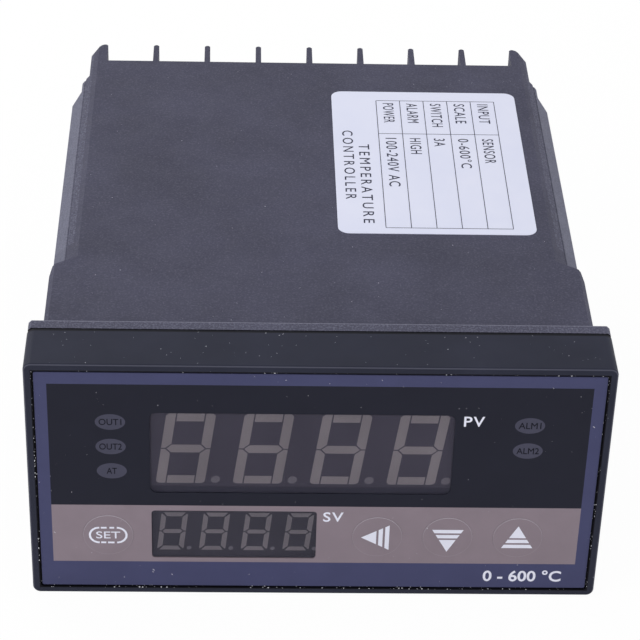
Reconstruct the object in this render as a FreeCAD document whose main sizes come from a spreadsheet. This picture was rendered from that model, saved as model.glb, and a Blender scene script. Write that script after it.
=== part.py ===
import FreeCAD, Part
import math
import os
import re

import Sketcher

# Panel-mounting PID temperature controller with a 96 x 48 mm front, draw-out type.
# Frame: x across the front, y from the front to the rear, z up, all in millimetres.
# The origin is the centre of the panel plane, where the flange of the case meets the panel.

SIZES = [
    # front frame and film
    ("front_width", 96.0),
    ("front_height", 48.0),
    ("front_depth", 12.68),
    ("frame_corner", 1.3),
    ("frame_edge", 0.45),
    ("frame_wall", 1.7),
    ("lip", 1.35),
    ("recess", 0.45),
    ("plate", 1.6),
    ("film_thickness", 0.25),
    ("film_gap", 0.3),
    ("film_corner", 0.3),
    ("seam", 0.6),
    # case flange behind the front frame
    ("flange_thickness", 2.15),
    ("flange_inset", 0.12),
    ("flange_corner", 0.5),
    # case
    ("case_height", 44.4),
    ("case_length", 90.9),
    ("block_width", 91.4),
    ("block_length", 21.7),
    ("block_chamfer", 0.8),
    ("block_shoulder", 2.8),
    ("block_round", 2.5),
    ("top_width", 82.3),
    ("bevel_width", 2.15),
    ("bevel_drop", 1.4),
    ("groove", 0.25),
    ("sleeve_width", 91.0),
    ("rail_drop", 3.3),
    ("step_one_at", 78.6),
    ("step_one", 1.6),
    ("step_one_run", 3.2),
    ("step_two_at", 85.0),
    ("step_two", 1.3),
    ("wall_top", 2.0),
    ("wall_side", 2.5),
    ("wall_rear", 3.0),
    ("rear_shoulder", 2.4),
    ("cavity_corner_across", 2.8),
    ("cavity_corner_down", 2.2),
    # terminals
    ("terminals", 8),
    ("terminal_pitch", 10.0),
    ("terminal_row", 12.0),
    ("fin_thickness", 1.05),
    ("fin_length", 6.4),
    ("fin_chamfer", 0.35),
    ("end_chamfer", 3.2),
    ("end_tip", 1.1),
    ("spine_height", 9.0),
    ("spine_drop", 2.9),
    ("contact_gap", 0.675),
    ("contact_thickness", 1.0),
    ("contact_foot", 3.8),
    ("blade_width", 4.0),
    ("blade_thickness", 0.8),
    ("blade_length", 15.0),
    ("slot_gap", 0.1),
    ("washer_gap", 1.175),
    ("washer_thickness", 0.9),
    ("screw_radius", 1.5),
    ("screw_head_radius", 2.8),
    ("screw_head_height", 2.0),
    ("screw_length", 4.0),
    ("screw_gap", 0.1),
    # label on the case
    ("label_width", 35.0),
    ("label_length", 50.0),
    ("label_thickness", 0.1),
    ("label_corner", 2.0),
    ("label_across", 21.35),
    ("label_along", 54.8),
    # boards
    ("board_thickness", 1.6),
    ("board_height", 15.0),
    ("board_side_gap", 0.5),
    ("board_end_gap", 5.9),
    ("guide_gap", 0.2),
    ("guide_rib", 1.2),
    ("guide_overlap", 1.7),
    ("display_board_width", 87.0),
    ("display_board_height", 41.0),
    ("display_board_front", 4.4),
    ("post_radius", 2.2),
    ("post_across", 40.5),
    ("post_up", -1.5),
    ("pilot_radius", 0.8),
    ("board_screw_head_radius", 1.9),
    ("board_screw_head_height", 1.3),
    ("board_screw_length", 5.0),
    ("board_screw_gap", 0.1),
    ("tongue_width", 60.0),
    ("tongue_thickness", 1.0),
    ("tongue_length", 6.0),
    ("tongue_gap", 0.2),
    # displays
    ("pv_width", 50.3),
    ("pv_height", 19.0),
    ("pv_centre", -2.8),
    ("sv_width", 30.0),
    ("sv_height", 12.0),
    ("sv_centre", -13.6),
    ("sv_up", -10.65),
    ("display_gap", 2.05),
    ("display_fit", 0.2),
    ("display_behind_film", 0.05),
    ("pv_digit_height", 14.4),
    ("pv_digit_width", 8.1),
    ("pv_pitch", 12.75),
    ("pv_stroke", 1.6),
    ("pv_corner", 0.45),
    ("pv_point_gap", 0.9),
    ("pv_slant", 0.132),
    ("sv_digit_height", 8.1),
    ("sv_digit_width", 4.45),
    ("sv_pitch", 7.05),
    ("sv_stroke", 0.85),
    ("sv_corner", 0.12),
    ("sv_point_gap", 0.5),
    ("sv_slant", 0.105),
    ("segment_gap", 0.22),
    ("segment_depth", 2.0),
    # keys
    ("key_up", -11.2),
    ("set_key_across", -34.97),
    ("shift_key_across", 10.3),
    ("key_pitch", 11.88),
    ("key_radius", 3.7),
    ("key_collar", 1.0),
    ("key_hole_gap", 0.2),
    ("key_gap", 0.05),
    ("key_collar_gap", 0.1),
    ("key_travel", 0.25),
    ("switch_side", 6.0),
    ("switch_height", 3.5),
    ("plunger_radius", 1.7),
    ("plunger_reach", 1.5),
    ("plunger_inside", 0.6),
    ("plunger_gap", 0.1),
    # indicator lamps
    ("lamp_across", 34.3),
    ("lamp_up", 12.42),
    ("lamp_pitch", 5.05),
    ("lamp_width", 4.0),
    ("lamp_height", 2.0),
    ("lamp_foot", 0.6),
    ("lamp_length", 5.2),
    ("lamp_gap", 0.25),
    ("lead_side", 0.5),
    ("lead_pitch", 2.54),
    # parts on the inner boards
    ("header_width", 33.0),
    ("header_side", 2.5),
    ("core_width", 28.0),
    ("core_height", 24.0),
    ("core_stack", 12.0),
    ("core_leg", 8.0),
    ("core_window", 6.0),
    ("bobbin_wall", 0.8),
    ("bobbin_gap", 0.1),
    ("winding_gap", 0.3),
    ("winding_round", 2.0),
    ("transformer_across", -20.0),
    ("transformer_along", 34.0),
    ("relay_width", 15.5),
    ("relay_length", 19.0),
    ("relay_height", 15.7),
    ("relay_along", 64.0),
    ("relay_across", 12.0),
    ("capacitor_radius", 6.3),
    ("capacitor_height", 20.0),
    ("capacitor_across", 12.0),
    ("capacitor_along", 20.0),
    ("small_capacitor_radius", 4.0),
    ("small_capacitor_height", 11.5),
    ("small_capacitor_along", 36.0),
    ("chip_height", 3.4),
    ("controller_width", 14.0),
    ("controller_length", 35.5),
    ("controller_across", -16.0),
    ("controller_along", 18.0),
    ("converter_width", 6.4),
    ("converter_length", 19.5),
    ("converter_across", 14.0),
    ("converter_along", 44.0),
    ("regulator_width", 10.2),
    ("regulator_thickness", 4.5),
    ("regulator_height", 15.0),
    ("regulator_across", 28.0),
    ("regulator_along", 20.0),
]

doc = FreeCAD.newDocument("TemperatureController")
sheet = doc.addObject("Spreadsheet::Sheet", "Sizes")
for row, (alias, number) in enumerate(SIZES, start=1):
    sheet.set(f"A{row}", alias)
    sheet.set(f"B{row}", str(number))
    sheet.setAlias(f"B{row}", alias)
doc.recompute()
NAMES = {alias for alias, number in SIZES}

# Places that several pieces share, as formulas of the sizes, measured from the origin.
FRONT = "(0 - front_depth)"
FILM_BACK = "(recess - front_depth)"
PLATE_BACK = "(recess + plate - front_depth)"
FRAME_REAR = "(0 - flange_thickness - seam)"
BOARD_FRONT = "(0 - display_board_front)"
BOARD_REAR = "(board_thickness - display_board_front)"
DISPLAY_FACE = "(recess - front_depth + display_behind_film)"
PV_UP = "(sv_up + sv_height / 2 + display_gap + pv_height / 2)"
CAVITY_WIDTH = "(sleeve_width - 2 * wall_side)"
CAVITY_HEIGHT = "(case_height - 2 * wall_top)"
REAR_CAVITY_WIDTH = "(sleeve_width - 2 * wall_side - 2 * rear_shoulder)"
BOARD_WIDTH = "(sleeve_width - 2 * wall_side - 2 * board_side_gap)"
BOARD_END = "(case_length - wall_rear - board_end_gap)"
BOARD_OUTER = "(board_height + board_thickness / 2)"
BOARD_INNER = "(board_height - board_thickness / 2)"
SCREW_REACH = "(screw_length - washer_thickness - contact_thickness)"
TONGUE_UP = "(case_height / 2 - wall_top - tongue_gap - tongue_thickness / 2)"
BAY_WIDTH = "(terminal_pitch - fin_thickness)"
ROWS = ("terminal_row", "0 - terminal_row")
FIRST_TERMINAL = "(0 - terminal_pitch * (terminals - 1) / 2)"
CONTACT_TOP = "(case_length + contact_thickness)"
TIP = "(case_length + fin_length)"
OUTSIDE = 1.0
EIGHTHS = [math.radians(45 * i + 22.5) for i in range(8)]


def formula(text):
    """The text with each size name turned into a reference to the sheet."""
    def refer(match):
        word = match.group()
        return "Sizes." + word if word in NAMES else word
    return re.sub(r"[a-z][a-z_]*", refer, text)


def value(text):
    """The number that a formula gives now."""
    return float(sheet.evalExpression(formula(text)))


def origin_part(body, role):
    """One of the body's own origin planes or axes."""
    return [feature for feature in body.Origin.OriginFeatures if feature.Role == role][0]


def new_body(label):
    """An empty body whose label names its file."""
    body = doc.addObject("PartDesign::Body", label)
    body.Label = label
    return body


def place(piece, across="0", along="0", up="0"):
    """Tie the piece's placement to the sheet."""
    piece.setExpression("Placement.Base.x", formula(across))
    piece.setExpression("Placement.Base.y", formula(along))
    piece.setExpression("Placement.Base.z", formula(up))
    return piece


def new_sketch(body, name, plane, at):
    """An empty sketch parallel to an origin plane, at a distance along the frame's own axis."""
    sketch = body.newObject("Sketcher::SketchObject", name)
    sketch.AttachmentSupport = (origin_part(body, plane + "_Plane"), [""])
    sketch.MapMode = "FlatFace"
    sign = "-" if plane == "XZ" else ""
    sketch.setExpression("AttachmentOffset.Base.z", f"{sign}({formula(at)})")
    return sketch


def add_outline(sketch, points):
    """A closed outline through corners that are each tied to the sheet."""
    first = sketch.GeometryCount
    count = len(points)
    corners = [FreeCAD.Vector(value(across), value(up), 0) for across, up in points]
    lines = [Part.LineSegment(corners[i], corners[(i + 1) % count]) for i in range(count)]
    sketch.addGeometry(lines)
    joins = [
        Sketcher.Constraint("Coincident", first + i, 2, first + (i + 1) % count, 1)
        for i in range(count)
    ]
    sketch.addConstraint(joins)
    for i, (across, up) in enumerate(points):
        for kind, text, number in (("DistanceX", across, corners[i].x), ("DistanceY", up, corners[i].y)):
            index = sketch.addConstraint(Sketcher.Constraint(kind, -1, 1, first + i, 1, number))
            sketch.setExpression(f"Constraints[{index}]", formula(text))
    return sketch


def add_circle(sketch, across, up, radius):
    """A circle whose centre and radius are tied to the sheet."""
    centre = FreeCAD.Vector(value(across), value(up), 0)
    index = sketch.addGeometry(Part.Circle(centre, FreeCAD.Vector(0, 0, 1), value(radius)))
    ties = (
        (Sketcher.Constraint("DistanceX", -1, 1, index, 3, centre.x), across),
        (Sketcher.Constraint("DistanceY", -1, 1, index, 3, centre.y), up),
        (Sketcher.Constraint("Radius", index, value(radius)), radius),
    )
    for constraint, text in ties:
        number = sketch.addConstraint(constraint)
        sketch.setExpression(f"Constraints[{number}]", formula(text))
    return sketch


def add_octagon(sketch, across, up, radius):
    """An eight-sided stand-in for a small round that stays hidden, which keeps the model light."""
    return add_outline(sketch, [
        (f"{across} + ({radius}) * {math.cos(turn):.6f}", f"{up} + ({radius}) * {math.sin(turn):.6f}")
        for turn in EIGHTHS
    ])


def rectangle(width, height, across="0", up="0"):
    """The corners of a rectangle about a centre."""
    left, right = f"{across} - ({width}) / 2", f"{across} + ({width}) / 2"
    low, high = f"{up} - ({height}) / 2", f"{up} + ({height}) / 2"
    return [(left, low), (right, low), (right, high), (left, high)]


def mirrored(points):
    """An outline of one side, from the top down, closed over both sides of the middle."""
    return points + [(f"0 - ({across})", up) for across, up in reversed(points)]


def pad(body, name, sketch, length, rearward=True):
    """Add material from the sketch: to the rear from an XZ sketch, upward from an XY one."""
    feature = body.newObject("PartDesign::Pad", name)
    feature.Profile = sketch
    feature.setExpression("Length", formula(length))
    in_xz = sketch.AttachmentSupport[0][0].Role == "XZ_Plane"
    feature.Reversed = rearward if in_xz else not rearward
    doc.recompute()
    return feature


def pocket(body, name, sketch, length, rearward=True):
    """Cut material away: to the rear from an XZ sketch, downward from an XY one."""
    before = body.Shape.Volume
    feature = body.newObject("PartDesign::Pocket", name)
    feature.Profile = sketch
    feature.setExpression("Length", formula(length))
    feature.Reversed = not rearward
    doc.recompute()
    if feature.Shape.isNull() or feature.Shape.Volume > before - 1e-6:
        raise RuntimeError(f"{body.Label}: {name} cuts nothing")
    return feature


def mirror_across(body, name, features):
    """Copy features to the other side of the middle plane x = 0."""
    feature = body.newObject("PartDesign::Mirrored", name)
    feature.Originals = features
    feature.MirrorPlane = (origin_part(body, "YZ_Plane"), [""])
    body.Tip = feature
    doc.recompute()
    return feature


def mirror_down(body, name):
    """Copy the whole body to the other side of the plane z = 0."""
    feature = body.newObject("PartDesign::Mirrored", name)
    feature.TransformMode = "Whole shape"
    feature.MirrorPlane = (origin_part(body, "XY_Plane"), [""])
    body.Tip = feature
    doc.recompute()
    return feature


def along_row(body, name, features):
    """Repeat features at each terminal of a row."""
    feature = body.newObject("PartDesign::LinearPattern", name)
    feature.Originals = features
    feature.Direction = (origin_part(body, "X_Axis"), [""])
    feature.Mode = "Spacing"
    feature.setExpression("Offset", formula("terminal_pitch"))
    feature.setExpression("Occurrences", formula("terminals"))
    body.Tip = feature
    doc.recompute()
    return feature


def edges_where(shape, test):
    """The names of the edges that pass a test on their bounding box."""
    return [f"Edge{i}" for i, edge in enumerate(shape.Edges, start=1) if test(edge.BoundBox)]


def near(first, second):
    return abs(first - second) < 1e-4


def dress_edges(body, name, kind, size_name, size, test):
    """Dress the edges of the body that pass the test."""
    base = body.Tip
    names = edges_where(base.Shape, test)
    if not names:
        raise RuntimeError(f"{body.Label}: {name} finds no edge")
    feature = body.newObject(kind, name)
    feature.Base = (base, names)
    feature.setExpression(size_name, formula(size))
    body.Tip = feature
    doc.recompute()
    return feature


def fillet(body, name, radius, test):
    return dress_edges(body, name, "PartDesign::Fillet", "Radius", radius, test)


def chamfer(body, name, size, test):
    return dress_edges(body, name, "PartDesign::Chamfer", "Size", size, test)


# Case: a one-piece moulding with its panel flange, guide ribs, terminal bays and barrier fins.


def make_case():
    body = new_body("case")
    make_case_outside(body)
    make_case_inside(body)
    make_case_terminals(body)
    return body


def make_case_outside(body):
    top = "case_height / 2"
    sketch = new_sketch(body, "BlockSection", "XZ", "0")
    side = "block_width / 2"
    add_outline(sketch, mirrored([
        (f"{side} - block_chamfer", top),
        (side, f"{top} - block_chamfer"),
        (side, f"block_chamfer - {top}"),
        (f"{side} - block_chamfer", f"0 - {top}"),
    ]))
    pad(body, "Block", sketch, "block_length")

    # The rear corners of the block run in at an angle to the narrower top behind it.
    sketch = new_sketch(body, "ShoulderPlan", "XY", f"{top} + {OUTSIDE}")
    add_outline(sketch, [
        (f"{side} + {OUTSIDE}", f"block_length + {OUTSIDE}"),
        ("top_width / 2", f"block_length + {OUTSIDE}"),
        ("top_width / 2", "block_length"),
        (f"{side} - block_chamfer / 2", "block_length - block_shoulder"),
        (side, "block_length - block_shoulder - block_round"),
        (f"{side} + {OUTSIDE}", "block_length - block_shoulder - block_round"),
    ])
    shoulder = pocket(body, "Shoulder", sketch, f"case_height + 2 * {OUTSIDE}")
    mirror_across(body, "Shoulders", [shoulder])

    split = "(top_width / 2 + bevel_width)"
    split_up = f"({top} - bevel_drop)"
    upper = [
        ("top_width / 2", top),
        (f"{split} - groove / 2", f"{split_up} + groove / 2"),
        (split, f"{split_up} - groove"),
        (f"{split} + groove", f"{split_up} - groove"),
        ("sleeve_width / 2", f"{top} - rail_drop"),
    ]
    lower = [(across, f"0 - ({up})") for across, up in reversed(upper)]
    sketch = new_sketch(body, "SleeveSection", "XZ", "0")
    add_outline(sketch, mirrored(upper + lower))
    pad(body, "Sleeve", sketch, TIP)

    sketch = new_sketch(body, "FlangeSection", "XZ", "0 - flange_thickness")
    wide = "(front_width / 2 - flange_inset)"
    high = "(front_height / 2 - 2 * flange_inset)"
    add_outline(sketch, mirrored([
        (f"{wide} - flange_corner", high),
        (wide, f"{high} - flange_corner"),
        (wide, f"flange_corner - {high}"),
        (f"{wide} - flange_corner", f"0 - {high}"),
    ]))
    pad(body, "Flange", sketch, "flange_thickness")

    # Towards the rear each side steps in twice, then runs in to the tip of the end fin.
    first = "(sleeve_width / 2 - step_one)"
    second = "(sleeve_width / 2 - step_one - step_two)"
    tip_across = f"({second} - end_chamfer + end_tip)"
    sketch = new_sketch(body, "StepPlan", "XY", f"{top} + {OUTSIDE}")
    add_outline(sketch, [
        (f"sleeve_width / 2 + {OUTSIDE}", "step_one_at"),
        ("sleeve_width / 2", "step_one_at"),
        (first, "step_one_at + step_one_run"),
        (first, "step_two_at"),
        (second, "step_two_at + step_two"),
        (second, f"{TIP} - end_chamfer"),
        (tip_across, TIP),
        (tip_across, f"{TIP} + {OUTSIDE}"),
        (f"sleeve_width / 2 + {OUTSIDE}", f"{TIP} + {OUTSIDE}"),
    ])
    steps = pocket(body, "Steps", sketch, f"case_height + 2 * {OUTSIDE}")
    mirror_across(body, "BothSteps", [steps])


def make_case_inside(body):
    wide, high = f"({CAVITY_WIDTH} / 2)", f"({CAVITY_HEIGHT} / 2)"
    sketch = new_sketch(body, "CavitySection", "XZ", f"0 - flange_thickness - {OUTSIDE}")
    add_outline(sketch, mirrored([
        (f"{wide} - cavity_corner_across", high),
        (wide, f"{high} - cavity_corner_down"),
        (wide, f"cavity_corner_down - {high}"),
        (f"{wide} - cavity_corner_across", f"0 - {high}"),
    ]))
    pocket(body, "Cavity", sketch, f"step_one_at - wall_side + flange_thickness + {OUTSIDE}")

    sketch = new_sketch(body, "RearCavitySection", "XZ", "0")
    add_outline(sketch, rectangle(REAR_CAVITY_WIDTH, CAVITY_HEIGHT))
    pocket(body, "RearCavity", sketch, "case_length - wall_rear")

    # A pair of ribs on each side guides each of the two long boards.
    sketch = new_sketch(body, "GuideSection", "XZ", "tongue_length + tongue_gap")
    reach = f"(board_side_gap + guide_overlap + {OUTSIDE})"
    across = f"({wide} + {OUTSIDE} - {reach} / 2)"
    above = f"({BOARD_OUTER} + guide_gap + guide_rib / 2)"
    below = f"({BOARD_INNER} - guide_gap - guide_rib / 2)"
    for side in ("", "0 - "):
        for level in (above, below, f"0 - {above}", f"0 - {below}"):
            add_outline(sketch, rectangle(reach, "guide_rib", side + across, level))
    pad(body, "Guides", sketch, "step_one_at - tongue_length - tongue_gap")


def make_case_terminals(body):
    # Bays between the barrier fins, open to the rear and to the top or bottom.
    room = f"(case_height / 2 - spine_height / 2 + {OUTSIDE})"
    sketch = new_sketch(body, "BaySection", "XZ", f"{TIP} + {OUTSIDE}")
    centre = f"(spine_height / 2 + {room} / 2)"
    add_outline(sketch, rectangle(BAY_WIDTH, room, FIRST_TERMINAL, centre))
    upper = pocket(body, "UpperBay", sketch, f"fin_length + {OUTSIDE}", rearward=False)
    sketch = new_sketch(body, "LowerBaySection", "XZ", f"{TIP} + {OUTSIDE}")
    add_outline(sketch, rectangle(BAY_WIDTH, room, FIRST_TERMINAL, f"0 - {centre}"))
    lower = pocket(body, "LowerBay", sketch, f"fin_length + {OUTSIDE}", rearward=False)
    along_row(body, "Bays", [upper, lower])

    sketch = new_sketch(body, "SpineSection", "XZ", f"{TIP} + {OUTSIDE}")
    add_outline(sketch, rectangle("terminal_pitch * terminals - fin_thickness", "spine_height"))
    pocket(body, "Spine", sketch, f"spine_drop + {OUTSIDE}", rearward=False)

    sketch = new_sketch(body, "HoleSection", "XZ", f"case_length + {OUTSIDE}")
    for level in ROWS:
        add_octagon(sketch, FIRST_TERMINAL, level, "screw_radius + screw_gap")
    holes = pocket(body, "FirstHoles", sketch, f"{OUTSIDE} + {SCREW_REACH} + screw_gap", rearward=False)
    along_row(body, "Holes", [holes])

    blade_up = f"({BOARD_OUTER} + slot_gap + blade_thickness / 2)"
    slots = []
    for name, level in (("UpperSlot", ""), ("LowerSlot", "0 - ")):
        sketch = new_sketch(body, name + "Section", "XZ", f"case_length + {OUTSIDE}")
        size = ("blade_width + 2 * slot_gap", "blade_thickness + 2 * slot_gap")
        add_outline(sketch, rectangle(*size, FIRST_TERMINAL, level + blade_up))
        slots.append(pocket(body, name, sketch, f"2 * {OUTSIDE} + wall_rear", rearward=False))
    along_row(body, "Slots", slots)

    tip = value(TIP)
    chamfer(body, "FinTips", "fin_chamfer", lambda box: near(box.YMin, tip) and near(box.YMax, tip)
            and box.ZLength > value("spine_height"))


def make_label():
    body = new_body("rating_label")
    sketch = new_sketch(body, "Outline", "XY", "case_height / 2")
    add_outline(sketch, rectangle("label_width", "label_length", "label_across", "label_along"))
    pad(body, "Film", sketch, "label_thickness")
    fillet(body, "Corners", "label_corner", lambda box: box.XLength + box.YLength < 1e-4)
    return body


def make_contacts():
    """Contact plates under the screws, each with a blade that runs inside along a board's edge."""
    body = new_body("terminal_contacts")
    blade_top = f"({BOARD_OUTER} + slot_gap + blade_thickness)"
    low = "(terminal_row - contact_foot)"
    sketch = new_sketch(body, "PlateSection", "XZ", "case_length")
    size = (f"{BAY_WIDTH} - 2 * contact_gap", f"{blade_top} - {low}")
    add_outline(sketch, rectangle(*size, FIRST_TERMINAL, f"({blade_top} + {low}) / 2"))
    add_octagon(sketch, FIRST_TERMINAL, "terminal_row", "screw_radius + screw_gap")
    plate = pad(body, "Plate", sketch, "contact_thickness")
    sketch = new_sketch(body, "BladeSection", "XZ", "case_length - blade_length")
    centre = f"{blade_top} - blade_thickness / 2"
    add_outline(sketch, rectangle("blade_width", "blade_thickness", FIRST_TERMINAL, centre))
    blade = pad(body, "Blade", sketch, "blade_length + contact_thickness / 2")
    along_row(body, "Row", [plate, blade])
    mirror_down(body, "Rows")
    return body


def make_washers():
    body = new_body("clamp_washers")
    sketch = new_sketch(body, "Section", "XZ", CONTACT_TOP)
    side = f"{BAY_WIDTH} - 2 * washer_gap"
    add_outline(sketch, rectangle(side, side, FIRST_TERMINAL, "terminal_row"))
    add_octagon(sketch, FIRST_TERMINAL, "terminal_row", "screw_radius + 2 * screw_gap")
    washer = pad(body, "Washer", sketch, "washer_thickness")
    along_row(body, "Row", [washer])
    mirror_down(body, "Rows")
    return body


def make_screw(body, base, head_radius, head_height, radius, length):
    """A screw about the body's y axis: its head to the rear of the given place, its shank in front."""
    sketch = new_sketch(body, "HeadSection", "XZ", base)
    add_circle(sketch, "0", "0", head_radius)
    head = pad(body, "Head", sketch, head_height)
    sketch = new_sketch(body, "ShankSection", "XZ", f"{base} - {length}")
    add_octagon(sketch, "0", "0", radius)
    shank = pad(body, "Shank", sketch, length)
    return [head, shank]


def make_terminal_screws():
    body = new_body("terminal_screws")
    base = f"({CONTACT_TOP} + washer_thickness)"
    screw = make_screw(body, base, "screw_head_radius", "screw_head_height", "screw_radius", "screw_length")
    along_row(body, "Row", screw)
    second = body.newObject("PartDesign::LinearPattern", "Rows")
    second.TransformMode = "Whole shape"
    second.Direction = (origin_part(body, "Z_Axis"), [""])
    second.Mode = "Spacing"
    second.setExpression("Offset", formula("2 * terminal_row"))
    second.Occurrences = 2
    body.Tip = second
    doc.recompute()
    return place(body, FIRST_TERMINAL, "0", "0 - terminal_row")


# Front unit: the frame with its film, displays, lamps, keys and boards, drawn out forwards.

LAMPS = {
    "lamp_out1": ("0 - lamp_across", "lamp_up"),
    "lamp_out2": ("0 - lamp_across", "lamp_up - lamp_pitch"),
    "lamp_at": ("0 - lamp_across", "lamp_up - 2 * lamp_pitch"),
    "lamp_alm1": ("lamp_across", "lamp_up"),
    "lamp_alm2": ("lamp_across", "lamp_up - lamp_pitch"),
}
KEYS = {
    "set": "set_key_across",
    "shift": "shift_key_across",
    "down": "shift_key_across + key_pitch",
    "up": "shift_key_across + 2 * key_pitch",
}
POSTS = ("post_across", "0 - post_across")


def make_front_frame():
    body = new_body("front_frame")
    depth = value(f"{FRAME_REAR} - {FRONT}")
    sketch = new_sketch(body, "FrontOutline", "XZ", FRONT)
    add_outline(sketch, rectangle("front_width", "front_height"))
    pad(body, "Shell", sketch, f"{FRAME_REAR} - {FRONT}")
    fillet(body, "Corners", "frame_corner", lambda box: near(box.YLength, depth))
    face = value(FRONT)
    fillet(body, "FrontEdge", "frame_edge", lambda box: near(box.YMin, face) and near(box.YMax, face))

    sketch = new_sketch(body, "HollowOutline", "XZ", PLATE_BACK)
    add_outline(sketch, rectangle("front_width - 2 * frame_wall", "front_height - 2 * frame_wall"))
    pocket(body, "Hollow", sketch, "front_depth")

    sketch = new_sketch(body, "RecessOutline", "XZ", f"{FRONT} - {OUTSIDE}")
    add_outline(sketch, rectangle("front_width - 2 * lip", "front_height - 2 * lip"))
    pocket(body, "Recess", sketch, f"recess + {OUTSIDE}")
    wide, high = value("front_width / 2 - lip"), value("front_height / 2 - lip")
    fillet(body, "RecessCorners", "film_corner + film_gap", lambda box: near(box.YLength, value("recess"))
           and near(abs(box.XMin), wide) and near(abs(box.ZMin), high))

    sketch = new_sketch(body, "WindowOutlines", "XZ", FRONT)
    fit = "2 * display_fit"
    add_outline(sketch, rectangle(f"pv_width + {fit}", f"pv_height + {fit}", "pv_centre", PV_UP))
    add_outline(sketch, rectangle(f"sv_width + {fit}", f"sv_height + {fit}", "sv_centre", "sv_up"))
    for across in KEYS.values():
        add_circle(sketch, across, "key_up", "key_radius + key_hole_gap")
    for across, up in LAMPS.values():
        add_outline(sketch, rectangle("lamp_width + 2 * lamp_gap", "lamp_height + 2 * lamp_gap", across, up))
    pocket(body, "Windows", sketch, f"recess + plate + {OUTSIDE} / 2")

    # Posts behind the plate carry the display board; tongues at top and bottom enter the case.
    sketch = new_sketch(body, "PostSection", "XZ", f"{PLATE_BACK} - plate / 2")
    for across in POSTS:
        add_octagon(sketch, across, "post_up", "post_radius")
    pad(body, "Posts", sketch, f"{BOARD_FRONT} - {PLATE_BACK} + plate / 2")
    sketch = new_sketch(body, "PilotSection", "XZ", PLATE_BACK)
    for across in POSTS:
        add_octagon(sketch, across, "post_up", "pilot_radius")
    pocket(body, "Pilots", sketch, f"{BOARD_FRONT} - {PLATE_BACK} + {OUTSIDE}")

    sketch = new_sketch(body, "TongueSection", "XZ", f"{PLATE_BACK} - plate / 2")
    for side in ("", "0 - "):
        add_outline(sketch, rectangle("tongue_width", "tongue_thickness", "0", side + TONGUE_UP))
    pad(body, "Tongues", sketch, f"tongue_length - {PLATE_BACK} + plate / 2")
    return body


def make_film():
    body = new_body("front_film")
    width, height = "front_width - 2 * lip - 2 * film_gap", "front_height - 2 * lip - 2 * film_gap"
    sketch = new_sketch(body, "Outline", "XZ", f"{FILM_BACK} - film_thickness")
    add_outline(sketch, rectangle(width, height))
    pad(body, "Film", sketch, "film_thickness")
    chamfer(body, "Corners", "film_corner", lambda box: box.XLength + box.ZLength < 1e-4)
    return body


def make_key(name, across):
    """A round key cap with a square collar that stays behind the plate."""
    body = new_body(f"key_{name}")
    sketch = new_sketch(body, "CapSection", "XZ", f"{FILM_BACK} + key_gap")
    add_circle(sketch, "0", "0", "key_radius")
    collar_front = f"({PLATE_BACK} + key_collar_gap)"
    pad(body, "Cap", sketch, f"{collar_front} - {FILM_BACK} - key_gap")
    sketch = new_sketch(body, "CollarSection", "XZ", collar_front)
    add_outline(sketch, rectangle("2 * (key_radius + key_collar)", "2 * (key_radius + key_collar)"))
    plunger_front = f"({BOARD_FRONT} - switch_height - plunger_reach)"
    pad(body, "Collar", sketch, f"{plunger_front} - {collar_front}")
    return place(body, across, "0", "key_up")


def make_plunger(name, across):
    body = new_body(f"plunger_{name}")
    sketch = new_sketch(body, "Section", "XZ", f"{BOARD_FRONT} - switch_height - plunger_reach")
    add_octagon(sketch, "0", "0", "plunger_radius")
    pad(body, "Plunger", sketch, "plunger_reach + plunger_inside")
    return place(body, across, "0", "key_up")


def make_switch(name, across):
    """A push switch body, bored for the plunger and its travel."""
    body = new_body(f"switch_{name}")
    front = f"({BOARD_FRONT} - switch_height)"
    sketch = new_sketch(body, "Section", "XZ", front)
    add_outline(sketch, rectangle("switch_side", "switch_side"))
    pad(body, "Housing", sketch, "switch_height")
    sketch = new_sketch(body, "BoreSection", "XZ", f"{front} - {OUTSIDE}")
    add_octagon(sketch, "0", "0", "plunger_radius + plunger_gap")
    pocket(body, "Bore", sketch, f"{OUTSIDE} + plunger_inside + key_travel + plunger_gap")
    return place(body, across, "0", "key_up")


def make_lamp(name, across, up):
    """A rectangular indicator lamp with a foot and two leads down to the display board."""
    body = new_body(name)
    front = f"({FILM_BACK} + lamp_gap)"
    foot = f"({front} + lamp_length - lamp_foot)"
    sketch = new_sketch(body, "LensSection", "XZ", front)
    add_outline(sketch, rectangle("lamp_width", "lamp_height"))
    pad(body, "Lens", sketch, "lamp_length - lamp_foot")
    sketch = new_sketch(body, "FootSection", "XZ", foot)
    add_outline(sketch, rectangle("lamp_width + lamp_foot", "lamp_height + lamp_foot"))
    pad(body, "Foot", sketch, "lamp_foot")
    sketch = new_sketch(body, "LeadSection", "XZ", f"{foot} + lamp_foot / 2")
    for side in ("", "0 - "):
        add_outline(sketch, rectangle("lead_side", "lead_side", f"{side}lead_pitch / 2"))
    pad(body, "Leads", sketch, f"{BOARD_FRONT} - {foot} - lamp_foot / 2")
    return place(body, across, "0", up)


def make_display_board():
    body = new_body("display_board")
    sketch = new_sketch(body, "Outline", "XZ", BOARD_FRONT)
    add_outline(sketch, rectangle("display_board_width", "display_board_height"))
    for across in POSTS:
        add_octagon(sketch, across, "post_up", "pilot_radius + board_screw_gap")
    pad(body, "Board", sketch, "board_thickness")
    sketch = new_sketch(body, "TongueSlots", "XZ", BOARD_REAR)
    floor = f"({TONGUE_UP} - tongue_thickness / 2 - tongue_gap)"
    height = f"(display_board_height / 2 + {OUTSIDE} - {floor})"
    for side in ("", "0 - "):
        centre = f"{side}({floor} + {height} / 2)"
        add_outline(sketch, rectangle("tongue_width + 2 * tongue_gap", height, "0", centre))
    pocket(body, "TongueRoom", sketch, f"board_thickness + {OUTSIDE}", rearward=False)
    return body


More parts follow.
